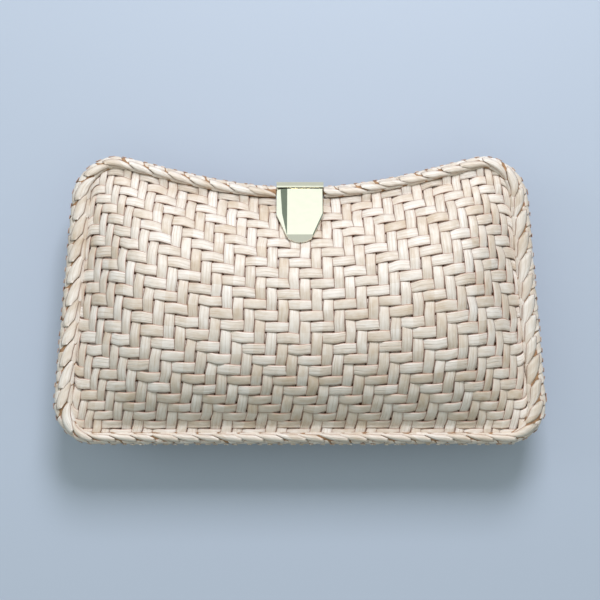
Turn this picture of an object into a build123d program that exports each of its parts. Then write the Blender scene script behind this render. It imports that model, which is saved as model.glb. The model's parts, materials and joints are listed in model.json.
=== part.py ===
# Woven straw clutch bag with two hinged halves and a lift-tab clasp.
#
# The bag lies on its back half, as it would on a table.  +X runs along its long side, +Y points
# to the clasp and +Z to the front.  The origin is under the middle of the bag, where it rests.
# All sizes are in millimetres.

from build123d import *

import os
from math import atan2, cos, hypot, pi, sin, sqrt

# Overall form, measured at the outer edge of the plaited rims
HALF_WIDTH = 120.2        # half the bag's width, halfway up
SIDE_SLANT = 0.0886       # how far each side leans in, for each mm towards the clasp
BOTTOM_Y = -72.5          # the straight edge where the hinges are
TOP_Y = 72.5              # the two shoulders
TOP_DIP = 15.9            # how far the clasp edge sinks between the shoulders
SHOULDER_X = 95.0         # the shoulders' distance from the middle
CORNER_RADIUS = 21.0
HALF_DEPTH = 30.0         # from the seam to the crown of either half
SEAM_GAP = 0.3            # from the seam plane to each half
REST_TRIM = 0.8           # how much of the back's crown is pressed flat where it rests

# Woven wall of each half
COLUMNS = 44              # straw strips that run from the hinges to the clasp
ROWS = 25                 # straw strips that run along the bag
WALL = 2.0
BAND_HEIGHT = 4.8         # upright band of the wall behind the rim
SIDE_ROUNDING = 42.0      # how far in from the sides the crown is reached
CROWN_POWER = 2.3         # how flat the crown is between the hinges and the clasp
STRAND_HIGH = 0.5         # the middle of each strip, above the mean surface
STRAND_LOW = 0.4          # the crossings between strips, below it

# Plaited rim of each half
RIM_WIDTH = 8.0
RIM_HEIGHT = 6.6
RIM_FOLDS = 128           # two for each leaf of the plait
RIM_SEAT = 0.35           # from the rim to the wall

# Frame strip and lining tray of each half
FIT = 0.25                # between pieces that stand beside each other
FRAME_WIDTH = 3.0
FRAME_THICK = 1.2
LINING = 0.8
LINING_GAP = 0.3          # from the lining to the straw wall

# Hinges
HINGE_X = 62.0            # the hinges' distance from the middle
HINGE_LENGTH = 24.0
HINGE_FROM_EDGE = 2.8     # the hinge line, in from the edge of the rim
BARREL_RADIUS = 1.4
HINGE_PIN_RADIUS = 0.7
PIN_FIT = 0.04            # radial clearance of a pin in its knuckle
LEAF = 0.7                # thickness of the bent metal
RIVET_RADIUS = 0.8
RIVET_SIDES = 8           # the rivets are so small that their rims are polygons
BARREL_SIDES = 12         # the knuckles are rolled in flats round their round bores

# Clasp
CLASP_WIDTH = 24.0
PIN_FROM_EDGE = 2.0       # the clasp's pin, out from the middle of the clasp edge
PIN_OVER_SEAM = 4.2
CLASP_PIN_RADIUS = 0.8
KNUCKLE_RADIUS = 1.8
TAB_RUN = 40.1684         # the tab climbs as high as the crown over this length
TAB_START = 2.4           # from the pin to the tab's upper edge
TAB_STRAIGHT = 15.4       # the stretch with parallel sides
TAB_LENGTH = 33.2
TAB_END_WIDTH = 12.8
TAB_THICK = 1.7
TAB_BEVEL = 0.9
LIP_LENGTH = 4.2          # the facet at the tab's free end
LIP_ARC = 2.2             # how far that end bulges
LIP_EDGE = 0.5            # thickness left at its tip
LATCH_WIDTH = 8.0
LATCH_THICK = 1.3
LATCH_BACK = 0.9          # the tongue hangs this far behind the pin, under the knuckle
LATCH_REACH = 7.5         # how far the latch hangs below the pin
STRAP_LENGTH = 12.0       # of the latch, soldered under the tab
CHEEK_HEIGHT = 3.6        # sides of the clasp's base where they meet the straw
MAGNET_WIDTH = 7.6
MAGNET_HEIGHT = 3.6

SEAM_Z = HALF_DEPTH
BAND_INSET = RIM_WIDTH + RIM_SEAT
CAVITY_INSET = BAND_INSET + WALL
CAVITY_DROP = WALL * 1.15
FRAME_INSET = CAVITY_INSET + FIT
FRAME_BASE = SEAM_GAP + LEAF
FRAME_TOP = FRAME_BASE + FRAME_THICK
RISE = HALF_DEPTH - BAND_HEIGHT - STRAND_HIGH + REST_TRIM / 2
HINGE_Y = BOTTOM_Y + HINGE_FROM_EDGE
CLASP_EDGE_Y = TOP_Y - TOP_DIP
PIN_Y = CLASP_EDGE_Y + PIN_FROM_EDGE
PIN_Z = SEAM_Z + PIN_OVER_SEAM
BAR_FACE_Y = PIN_Y + KNUCKLE_RADIUS
CLASP_GAP = CLASP_WIDTH / 2 + 0.5


def half_width(y: float, inset: float) -> float:
    """Half the width of the outline at y, taken in by inset."""
    return HALF_WIDTH - SIDE_SLANT * y - inset


def clasp_edge(x: float, inset: float) -> float:
    """The y of the dipped edge at x, before its corners are rounded."""
    share = min(abs(x) / SHOULDER_X, 1.0)
    return TOP_Y - TOP_DIP * (1 - share**2) ** 1.3 - inset


def corner_drop(u: float, y: float, inset: float) -> float:
    """How far a rounded corner pulls the edge in, u of the way to the side."""
    radius = CORNER_RADIUS - inset
    into_corner = max(0.0, radius - (1 - abs(u)) * half_width(y, inset))
    return radius - sqrt(radius**2 - into_corner**2)


def plan(u: float, v: float, inset: float) -> tuple[float, float]:
    """The place (x, y) of (u, v), both from -1 to 1, in the outline taken in by inset."""
    low = BOTTOM_Y + inset
    low += corner_drop(u, low, inset)
    high = TOP_Y - inset
    for _ in range(3):
        high = clasp_edge(u * half_width(high, inset), inset) - corner_drop(u, high, inset)
    y = low + (high - low) * (v + 1) / 2
    return u * half_width(y, inset), y


def swell(u: float, v: float) -> float:
    """The height of the crowned surface over its own edge, as a share of the rise."""
    from_side = (1 - abs(u)) * half_width(0, BAND_INSET) / SIDE_ROUNDING
    return sin(pi / 2 * min(from_side, 1.0)) * (1 - abs(v) ** CROWN_POWER)


def even_steps(count: int, run: float, height) -> list[float]:
    """Splits -1 to 1 into count steps of equal length along a surface of that run and height."""
    fine = 400
    spots = [2 * k / fine - 1 for k in range(fine + 1)]
    length = [0.0]
    for before, after in zip(spots, spots[1:]):
        length.append(length[-1] + hypot((after - before) * run, height(after) - height(before)))
    steps = []
    k = 0
    for step in range(count + 1):
        wanted = length[-1] * step / count
        while k < fine - 1 and length[k + 1] < wanted:
            k += 1
        share = (wanted - length[k]) / (length[k + 1] - length[k])
        steps.append(spots[k] + share * (spots[k + 1] - spots[k]))
    return steps


def eased_steps(count: int) -> list[float]:
    """Splits -1 to 1 into count steps that get shorter towards both ends."""
    return [sin(pi / 2 * (2 * k / count - 1)) for k in range(count + 1)]


def triangle(a: Vector, b: Vector, c: Vector) -> Face:
    """A flat three-cornered face."""
    return Face(Wire.make_polygon([a, b, c]))


def closed_solid(faces: list[Face]) -> Solid:
    """Sews faces that share their edges into one solid."""
    solid = Solid(Shell(faces))
    return solid if solid.volume > 0 else Solid(Shell([-face for face in faces]))


def crowned_faces(us: list[float], vs: list[float], inset: float, drop: float, relief: float):
    """The corner grid of a crowned surface, and a function that gives any place over it.

    relief raises or sinks every corner that isn't at the edge.
    """

    def spot(u: float, v: float, lift: float) -> Vector:
        x, y = plan(u, v, inset)
        at_edge = max(abs(u), abs(v)) > 1 - 1e-9
        height = BAND_HEIGHT - drop + RISE * swell(u, v) + (0.0 if at_edge else lift)
        return Vector(x, y, SEAM_Z + height)

    return [[spot(u, v, relief) for v in vs] for u in us], spot


def skirted_solid(grid: list[list[Vector]], faces: list[Face]) -> Solid:
    """Closes a crowned surface with an upright skirt and a flat face at the seam."""
    last_u = len(grid) - 1
    last_v = len(grid[0]) - 1
    edge = [grid[i][0] for i in range(last_u)]
    edge += [grid[last_u][j] for j in range(last_v)]
    edge += [grid[i][last_v] for i in range(last_u, 0, -1)]
    edge += [grid[0][j] for j in range(last_v, 0, -1)]
    foot = [Vector(top.X, top.Y, SEAM_Z + SEAM_GAP) for top in edge]
    for k, top in enumerate(edge):
        after = (k + 1) % len(edge)
        faces.append(Face(Wire.make_polygon([top, edge[after], foot[after], foot[k]])))
    faces.append(Face(Wire.make_polygon(foot)))
    return closed_solid(faces)


def woven_block() -> Solid:
    """The front half as a full block, its crown woven two over and two under.

    Each strip comes up over two others, and each row starts one column further on than the
    row above it, so that the strips step down the bag in slanting ribs.
    """
    us = even_steps(COLUMNS, half_width(0, BAND_INSET), lambda u: RISE * swell(u, 0))
    run = (CLASP_EDGE_Y - BOTTOM_Y) / 2 - BAND_INSET
    vs = [-v for v in even_steps(ROWS, run, lambda v: RISE * swell(0, v))]
    grid, spot = crowned_faces(us, vs, BAND_INSET, 0, -STRAND_LOW)
    faces = []

    def strip(i: int, j: int, wide: int, tall: int) -> None:
        """One stretch of a strip, wide by tall cells, that rises to its own crest."""
        ring = [grid[i + k][j] for k in range(wide + 1)]
        ring += [grid[i + wide][j + k] for k in range(1, tall + 1)]
        ring += [grid[i + wide - k][j + tall] for k in range(1, wide + 1)]
        ring += [grid[i][j + tall - k] for k in range(1, tall)]
        crest = spot((us[i] + us[i + wide]) / 2, (vs[j] + vs[j + tall]) / 2, STRAND_HIGH)
        faces.extend(triangle(crest, a, b) for a, b in zip(ring, ring[1:] + ring[:1]))

    for i in range(COLUMNS):
        for j in range(ROWS):
            phase = (i - j + 2) % 4
            if phase == 0:
                strip(i, j, min(2, COLUMNS - i), 1)
            elif phase == 3:
                strip(i, j, 1, min(2, ROWS - j))
            elif (phase == 1 and i == 0) or (phase == 2 and j == 0):
                strip(i, j, 1, 1)
    return skirted_solid(grid, faces)


def smooth_block(inset: float, drop: float) -> Solid:
    """A full block with a smooth crown, taken in by inset and lowered by drop."""
    us = eased_steps(12)
    vs = [-v for v in eased_steps(6)]
    grid, _ = crowned_faces(us, vs, inset, drop, 0)
    faces = []
    for near, far in zip(grid, grid[1:]):
        for j in range(len(vs) - 1):
            faces.append(triangle(near[j], far[j], far[j + 1]))
            faces.append(triangle(near[j], far[j + 1], near[j + 1]))
    return skirted_solid(grid, faces)


def outline(inset: float, us: list[float]) -> list[tuple[float, float]]:
    """Points clockwise round the outline taken in by inset, from its middle at the clasp."""
    right = [plan(u, 1, inset) for u in us] + [plan(u, -1, inset) for u in reversed(us)]
    left = [(-x, y) for x, y in reversed(right)]
    return right + left[1:-1]


def plaited_rim() -> Solid:
    """The front rim: a four-sided bead whose ridge goes in and out once for each leaf."""
    fine = [max(u, 0.0) for u in eased_steps(96) if u > -1e-9]
    path = Wire.make_polygon([Vector(x, y, SEAM_Z) for x, y in outline(RIM_WIDTH / 2, fine)])
    margin = CLASP_GAP / path.length
    half = RIM_WIDTH / 2
    flat_end = half - HINGE_FROM_EDGE
    tucked = [(-half, SEAM_GAP), (flat_end, SEAM_GAP), (half, RIM_HEIGHT * 0.48), (-half * 0.75, RIM_HEIGHT)]
    raised = [
        (-half, SEAM_GAP),
        (flat_end, SEAM_GAP),
        (half * 0.78, RIM_HEIGHT * 0.62),
        (half * 0.2, RIM_HEIGHT * 0.88),
    ]
    sections = []
    for k in range(RIM_FOLDS + 1):
        at = margin + (1 - 2 * margin) * k / RIM_FOLDS
        centre = path @ at
        along = path % at
        outward = Vector(-along.Y, along.X, 0)
        corners = raised if k % 2 else tucked
        sections.append([centre + outward * out + Vector(0, 0, up) for out, up in corners])
    faces = [Face(Wire.make_polygon(sections[0])), Face(Wire.make_polygon(sections[-1]))]
    for near, far in zip(sections, sections[1:]):
        for k in range(4):
            after = (k + 1) % 4
            faces.append(triangle(near[k], near[after], far[k]))
            faces.append(triangle(near[after], far[after], far[k]))
    return closed_solid(faces)


def save(shape: Part, name: str) -> None:
    """Labels one finished piece and writes it to its own file."""
    shape.label = name
    export_step(shape, f"parts/{name}.step")


os.makedirs("parts", exist_ok=True)
TURN_OVER = Axis((0, 0, SEAM_Z), (0, 1, 0))
LEAF_END_Y = BOTTOM_Y + FRAME_INSET + FRAME_WIDTH
FLANGE_END_Y = CLASP_EDGE_Y - FRAME_INSET - FRAME_WIDTH
FLANGE_LENGTH = BAR_FACE_Y - FLANGE_END_Y
SEAM_LEVEL = SEAM_Z + SEAM_GAP
METAL_ROOM = 2 * (SEAM_GAP + LEAF + 0.1)
hinge_places = Locations((-HINGE_X, HINGE_Y, SEAM_Z), (HINGE_X, HINGE_Y, SEAM_Z))
leaf_rivet_spots = [
    (side * HINGE_X + off, LEAF_END_Y - FRAME_WIDTH / 2)
    for side in (-1, 1)
    for off in (-HINGE_LENGTH / 3, HINGE_LENGTH / 3)
]
clasp_rivet_spots = [
    (side * CLASP_WIDTH / 3, FLANGE_END_Y + FRAME_WIDTH / 2) for side in (-1, 1)
]
RIVET_SPOTS = leaf_rivet_spots + clasp_rivet_spots


# Room that the rims, walls and frames leave for the metal at the seam
with BuildPart() as metal_room:
    with hinge_places:
        Cylinder(BARREL_RADIUS + FIT, HINGE_LENGTH + 2 * FIT, rotation=(0, 90, 0))
        Box(
            HINGE_LENGTH + 2 * FIT, LEAF_END_Y - HINGE_Y, METAL_ROOM,
            align=(Align.CENTER, Align.MIN, Align.CENTER),
        )
    with Locations((0, FLANGE_END_Y, SEAM_Z)):
        Box(
            2 * CLASP_GAP, FLANGE_LENGTH, METAL_ROOM,
            align=(Align.CENTER, Align.MIN, Align.CENTER),
        )

# Straw walls: crowned, hollow, woven two over and two under
with BuildPart() as front_shell:
    add(woven_block())
    add(smooth_block(CAVITY_INSET, CAVITY_DROP), mode=Mode.SUBTRACT)
    add(metal_room.part, mode=Mode.SUBTRACT)
with BuildPart() as back_shell:
    add(front_shell.part.rotate(TURN_OVER, 180))
    split(bisect_by=Plane.XY, keep=Keep.TOP)
save(front_shell.part, "front_shell")
save(back_shell.part, "back_shell")

# Plaited straw rims, which leave a gap for the clasp
with BuildPart() as front_rim:
    add(plaited_rim())
    add(metal_room.part, mode=Mode.SUBTRACT)
with BuildPart() as back_rim:
    add(front_rim.part.rotate(TURN_OVER, 180))
save(front_rim.part, "front_rim")
save(back_rim.part, "back_rim")

# Metal frame strips inside the mouth of each half, with holes for the rivets
half_steps = [max(u, 0.0) for u in eased_steps(12) if u > -1e-9]
with BuildPart() as front_frame:
    with BuildSketch(Plane.XY.offset(SEAM_Z + FRAME_BASE)):
        with BuildLine():
            Polyline(*outline(FRAME_INSET, half_steps), close=True)
        make_face()
        with BuildLine():
            Polyline(*outline(FRAME_INSET + FRAME_WIDTH, half_steps), close=True)
        make_face(mode=Mode.SUBTRACT)
        with Locations(*RIVET_SPOTS):
            RegularPolygon(RIVET_RADIUS, RIVET_SIDES, mode=Mode.SUBTRACT)
    extrude(amount=FRAME_THICK)
with BuildPart() as back_frame:
    add(front_frame.part.rotate(TURN_OVER, 180))
save(front_frame.part, "front_frame")
save(back_frame.part, "back_frame")

# Flush rivets that hold the hinges and the clasp to the frame strips
with BuildPart() as front_rivets:
    with BuildSketch(Plane.XY.offset(SEAM_LEVEL)):
        with Locations(*RIVET_SPOTS):
            RegularPolygon(RIVET_RADIUS, RIVET_SIDES)
    extrude(amount=LEAF + FRAME_THICK)
with BuildPart() as back_rivets:
    add(front_rivets.part.rotate(TURN_OVER, 180))
save(front_rivets.part, "front_rivets")
save(back_rivets.part, "back_rivets")

# Lining trays, whose lower edges stand on the frame strips
with BuildPart() as front_lining:
    add(smooth_block(FRAME_INSET, CAVITY_DROP + LINING_GAP))
    add(smooth_block(FRAME_INSET + LINING, CAVITY_DROP + LINING_GAP + LINING), mode=Mode.SUBTRACT)
    split(bisect_by=Plane.XY.offset(SEAM_Z + FRAME_TOP), keep=Keep.TOP)
with BuildPart() as back_lining:
    add(front_lining.part.rotate(TURN_OVER, 180))
save(front_lining.part, "front_lining")
save(back_lining.part, "back_lining")

# Hinges: the front leaf has the middle knuckle, the back leaf the two outer ones
KNUCKLE = HINGE_LENGTH / 3
for side, hinge_name in ((-1, "left"), (1, "right")):
    hinge_at = side * HINGE_X
    rivets_here = [spot for spot in leaf_rivet_spots if spot[0] * side > 0]
    middle = [(hinge_at, KNUCKLE - FIT)]
    outer = [(hinge_at + way * KNUCKLE, KNUCKLE - FIT) for way in (-1, 1)]
    for half_name, knuckles, facing in (("front", middle, 1), ("back", outer, -1)):
        with BuildPart() as leaf:
            with BuildSketch(Plane.XY.offset(SEAM_Z + facing * SEAM_GAP)):
                with Locations((hinge_at, HINGE_Y + BARREL_RADIUS + FIT)):
                    Rectangle(
                        HINGE_LENGTH, LEAF_END_Y - HINGE_Y - BARREL_RADIUS - FIT,
                        align=(Align.CENTER, Align.MIN),
                    )
                for at, length in knuckles:
                    with Locations((at, HINGE_Y)):
                        Rectangle(length, BARREL_RADIUS + 2 * FIT, align=(Align.CENTER, Align.MIN))
                with Locations(*rivets_here):
                    RegularPolygon(RIVET_RADIUS, RIVET_SIDES, mode=Mode.SUBTRACT)
            extrude(amount=facing * LEAF)
            for at, length in knuckles:
                with BuildSketch(Plane.YZ.offset(at)):
                    with Locations((HINGE_Y, SEAM_Z)):
                        RegularPolygon(BARREL_RADIUS, BARREL_SIDES)
                extrude(amount=length / 2, both=True)
            with Locations((hinge_at, HINGE_Y, SEAM_Z)):
                Cylinder(
                    HINGE_PIN_RADIUS + PIN_FIT, HINGE_LENGTH, rotation=(0, 90, 0),
                    mode=Mode.SUBTRACT,
                )
        save(leaf.part, f"{half_name}_hinge_leaf_{hinge_name}")
    with BuildPart() as hinge_pin:
        with Locations((hinge_at, HINGE_Y, SEAM_Z)):
            Cylinder(HINGE_PIN_RADIUS, HINGE_LENGTH, rotation=(0, 90, 0))
    save(hinge_pin.part, f"hinge_pin_{hinge_name}")

# Channel of bent metal that fills the gap in each rim: flange, outer wall and two cheeks
LATCH_ROOM = LATCH_WIDTH + 4 * FIT
CHEEK_Y = CLASP_EDGE_Y - RIM_WIDTH + 2 * FIT
with BuildPart() as edge_channel:
    with BuildSketch(Plane.XY.offset(SEAM_LEVEL)):
        with Locations((0, FLANGE_END_Y)):
            Rectangle(CLASP_WIDTH, FLANGE_LENGTH, align=(Align.CENTER, Align.MIN))
        with Locations((0, BAR_FACE_Y - LEAF)):
            Rectangle(LATCH_ROOM, LATCH_REACH + 2, align=(Align.CENTER, Align.MAX), mode=Mode.SUBTRACT)
        with Locations(*clasp_rivet_spots):
            RegularPolygon(RIVET_RADIUS, RIVET_SIDES, mode=Mode.SUBTRACT)
    extrude(amount=LEAF)
    with BuildSketch(Plane.XY.offset(SEAM_LEVEL)):
        with Locations((0, BAR_FACE_Y)):
            Rectangle(CLASP_WIDTH, LEAF, align=(Align.CENTER, Align.MAX))
    extrude(amount=PIN_OVER_SEAM - SEAM_GAP)
    with BuildSketch(Plane.YZ):
        with BuildLine():
            Polyline(
                (CHEEK_Y, SEAM_LEVEL),
                (BAR_FACE_Y, SEAM_LEVEL),
                (BAR_FACE_Y, PIN_Z),
                (PIN_Y - KNUCKLE_RADIUS, PIN_Z),
                (CHEEK_Y, SEAM_Z + CHEEK_HEIGHT),
                close=True,
            )
        make_face()
    extrude(amount=CLASP_WIDTH / 2, both=True)
    with BuildSketch(Plane.YZ):
        with Locations((BAR_FACE_Y - LEAF, SEAM_LEVEL + LEAF)):
            Rectangle(
                FLANGE_LENGTH, PIN_OVER_SEAM + KNUCKLE_RADIUS,
                align=(Align.MAX, Align.MIN),
            )
    extrude(amount=CLASP_WIDTH / 2 - LEAF, both=True, mode=Mode.SUBTRACT)
    with BuildSketch(Plane.XY.offset(SEAM_LEVEL)):
        with Locations((0, BAR_FACE_Y - LEAF)):
            Rectangle(LATCH_ROOM, LATCH_REACH + 2, align=(Align.CENTER, Align.MAX))
    extrude(amount=LEAF, mode=Mode.SUBTRACT)

# Clasp base on the front half: the channel with two knuckles for the clasp's pin
MIDDLE_KNUCKLE = LATCH_WIDTH + 2.0
OUTER_KNUCKLE = (CLASP_WIDTH - MIDDLE_KNUCKLE) / 2 - FIT
outer_knuckle_x = (CLASP_WIDTH - OUTER_KNUCKLE) / 2
with BuildPart() as clasp_base:
    add(edge_channel.part)
    with Locations((0, BAR_FACE_Y, PIN_Z - KNUCKLE_RADIUS - FIT)):
        Box(
            MIDDLE_KNUCKLE + 2 * FIT, 4 * LEAF, 2 * KNUCKLE_RADIUS,
            align=(Align.CENTER, Align.CENTER, Align.MIN), mode=Mode.SUBTRACT,
        )
    with Locations((-outer_knuckle_x, PIN_Y, PIN_Z), (outer_knuckle_x, PIN_Y, PIN_Z)):
        Cylinder(KNUCKLE_RADIUS, OUTER_KNUCKLE, rotation=(0, 90, 0))
    with Locations((0, PIN_Y, PIN_Z)):
        Cylinder(
            CLASP_PIN_RADIUS + PIN_FIT, CLASP_WIDTH, rotation=(0, 90, 0), mode=Mode.SUBTRACT,
        )
save(clasp_base.part, "clasp_base")

# Catch on the back half: the same channel, with a window that holds the magnet
magnet_place = Location((0, BAR_FACE_Y, SEAM_Z - SEAM_GAP - LEAF - FIT))
magnet_thick = BAR_FACE_Y - PIN_Y + LATCH_BACK - LATCH_THICK / 2 - FIT
with BuildPart() as catch_plate:
    add(edge_channel.part.rotate(TURN_OVER, 180))
    with BuildSketch(Plane.XY.offset(SEAM_Z - SEAM_GAP - LEAF)):
        with Locations((0, BAR_FACE_Y)):
            Rectangle(CLASP_WIDTH, LEAF, align=(Align.CENTER, Align.MAX))
    extrude(amount=-MAGNET_HEIGHT - 2 * FIT - LEAF)
    with Locations(magnet_place):
        Box(
            MAGNET_WIDTH, 4 * LEAF, MAGNET_HEIGHT,
            align=(Align.CENTER, Align.CENTER, Align.MAX), mode=Mode.SUBTRACT,
        )
save(catch_plate.part, "catch_plate")
with BuildPart() as catch_magnet:
    with Locations(magnet_place):
        Box(
            MAGNET_WIDTH, magnet_thick, MAGNET_HEIGHT,
            align=(Align.CENTER, Align.MAX, Align.MAX),
        )
save(catch_magnet.part, "catch_magnet")

# Clasp tab: a bevelled plate that tapers to a rounded lip
slope = atan2(RISE, TAB_RUN)
tab_plane = Plane(
    origin=(0, PIN_Y, PIN_Z), x_dir=(0, -cos(slope), sin(slope)), z_dir=(0, sin(slope), cos(slope)),
)
tab_side = Plane(origin=tab_plane.origin, x_dir=tab_plane.x_dir, z_dir=-tab_plane.y_dir)
TAB_END = TAB_START + TAB_LENGTH
with BuildPart() as clasp_tab:
    with BuildSketch(tab_plane.offset(-TAB_THICK / 2)):
        with BuildLine():
            Polyline(
                (TAB_END - LIP_ARC, -TAB_END_WIDTH / 2),
                (TAB_START + TAB_STRAIGHT, -CLASP_WIDTH / 2),
                (TAB_START, -CLASP_WIDTH / 2),
                (TAB_START, CLASP_WIDTH / 2),
                (TAB_START + TAB_STRAIGHT, CLASP_WIDTH / 2),
                (TAB_END - LIP_ARC, TAB_END_WIDTH / 2),
            )
            ThreePointArc(
                (TAB_END - LIP_ARC, TAB_END_WIDTH / 2), (TAB_END, 0), (TAB_END - LIP_ARC, -TAB_END_WIDTH / 2),
            )
        make_face()
    extrude(amount=TAB_THICK)
    top_face = clasp_tab.faces().sort_by(Axis(tab_plane.origin, tab_plane.z_dir))[-1]
    chamfer(top_face.edges(), TAB_BEVEL)
    with BuildSketch(tab_side):
        with BuildLine():
            Polyline(
                (TAB_END - LIP_LENGTH, TAB_THICK / 2),
                (TAB_END, TAB_THICK / 2),
                (TAB_END, LIP_EDGE - TAB_THICK / 2),
                close=True,
            )
        make_face()
    extrude(amount=CLASP_WIDTH / 2, both=True, mode=Mode.SUBTRACT)
save(clasp_tab.part, "clasp_tab")

# Latch: the middle knuckle, the tongue that hangs to the magnet and the strap under the tab
with BuildPart() as clasp_latch:
    with Locations((0, PIN_Y, PIN_Z)):
        Cylinder(KNUCKLE_RADIUS, MIDDLE_KNUCKLE, rotation=(0, 90, 0))
    with Locations((0, PIN_Y - LATCH_BACK, PIN_Z)):
        Box(
            LATCH_WIDTH, LATCH_THICK, LATCH_REACH,
            align=(Align.CENTER, Align.CENTER, Align.MAX),
        )
    with BuildSketch(tab_plane.offset(-TAB_THICK / 2)):
        Rectangle(STRAP_LENGTH, MIDDLE_KNUCKLE, align=(Align.MIN, Align.CENTER))
    extrude(amount=-LEAF)
    with Locations((0, PIN_Y, PIN_Z)):
        Cylinder(
            CLASP_PIN_RADIUS + PIN_FIT, MIDDLE_KNUCKLE, rotation=(0, 90, 0), mode=Mode.SUBTRACT,
        )
save(clasp_latch.part, "clasp_latch")

with BuildPart() as clasp_pin:
    with Locations((0, PIN_Y, PIN_Z)):
        Cylinder(CLASP_PIN_RADIUS, CLASP_WIDTH, rotation=(0, 90, 0))
save(clasp_pin.part, "clasp_pin")
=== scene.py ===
"""The looks of a woven straw clutch bag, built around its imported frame.

The bag lies on its back half.  Both halves are woven of flat straw strips, two over and two
under, and edged with a plaited rim.  A pale gold tab closes them.  Shape formulas work in
millimetres, in the frame's own axes, and each finished mesh is turned to metres once.
"""

from __future__ import annotations

import json
import logging
import math
from dataclasses import dataclass, field, replace
from enum import Enum

import bmesh
import bpy
import numpy as np
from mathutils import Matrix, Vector

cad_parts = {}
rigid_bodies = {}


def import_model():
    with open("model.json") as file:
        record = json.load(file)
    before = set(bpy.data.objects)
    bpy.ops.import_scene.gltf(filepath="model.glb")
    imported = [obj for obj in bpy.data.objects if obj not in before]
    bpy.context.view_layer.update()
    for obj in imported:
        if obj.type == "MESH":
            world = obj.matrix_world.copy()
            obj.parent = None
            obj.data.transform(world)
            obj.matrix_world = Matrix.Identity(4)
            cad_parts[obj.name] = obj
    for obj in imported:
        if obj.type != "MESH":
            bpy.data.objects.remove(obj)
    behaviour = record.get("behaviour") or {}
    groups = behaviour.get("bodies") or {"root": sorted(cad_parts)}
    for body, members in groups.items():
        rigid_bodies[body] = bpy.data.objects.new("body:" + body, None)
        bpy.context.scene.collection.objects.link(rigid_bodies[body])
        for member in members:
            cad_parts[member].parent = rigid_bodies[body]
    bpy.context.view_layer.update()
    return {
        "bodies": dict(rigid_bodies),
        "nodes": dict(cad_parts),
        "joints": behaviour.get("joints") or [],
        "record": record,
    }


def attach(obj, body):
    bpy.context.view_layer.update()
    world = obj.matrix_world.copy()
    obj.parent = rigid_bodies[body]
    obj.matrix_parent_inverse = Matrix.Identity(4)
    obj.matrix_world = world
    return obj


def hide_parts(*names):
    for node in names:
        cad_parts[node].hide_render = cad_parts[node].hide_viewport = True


MM = 0.001
LOG = logging.getLogger("clutch")

Colour = tuple[float, float, float]
Cut = tuple[Vector, Vector]

# The clasp, in millimetres
PIN_Y = 58.6
PIN_Z = 34.2
CLASP_HALF_WIDTH = 12.0


class Half(Enum):
    """The two halves of the bag."""

    FRONT = "front"
    BACK = "back"


class Way(Enum):
    """The way a woven strip runs."""

    ALONG = "along"
    UP = "up"


class Waver:
    """Smooth, seeded unevenness, the same on every run."""

    def __init__(self, seed: int) -> None:
        """Starts the sequence that the seed gives."""
        self.random = np.random.default_rng(seed)

    def each(self, count: int, size: float) -> np.ndarray:
        """One offset for each of count things.

        Args:
            count: How many offsets.
            size: The standard deviation.

        Returns:
            An array of count numbers, none over two deviations.
        """
        return np.clip(self.random.normal(0.0, size, count), -2 * size, 2 * size)

    def grid(self, rows: int, columns: int, size: float) -> np.ndarray:
        """One offset for each place in a grid of rows by columns, as each gives."""
        return self.each(rows * columns, size).reshape(rows, columns)


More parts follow.
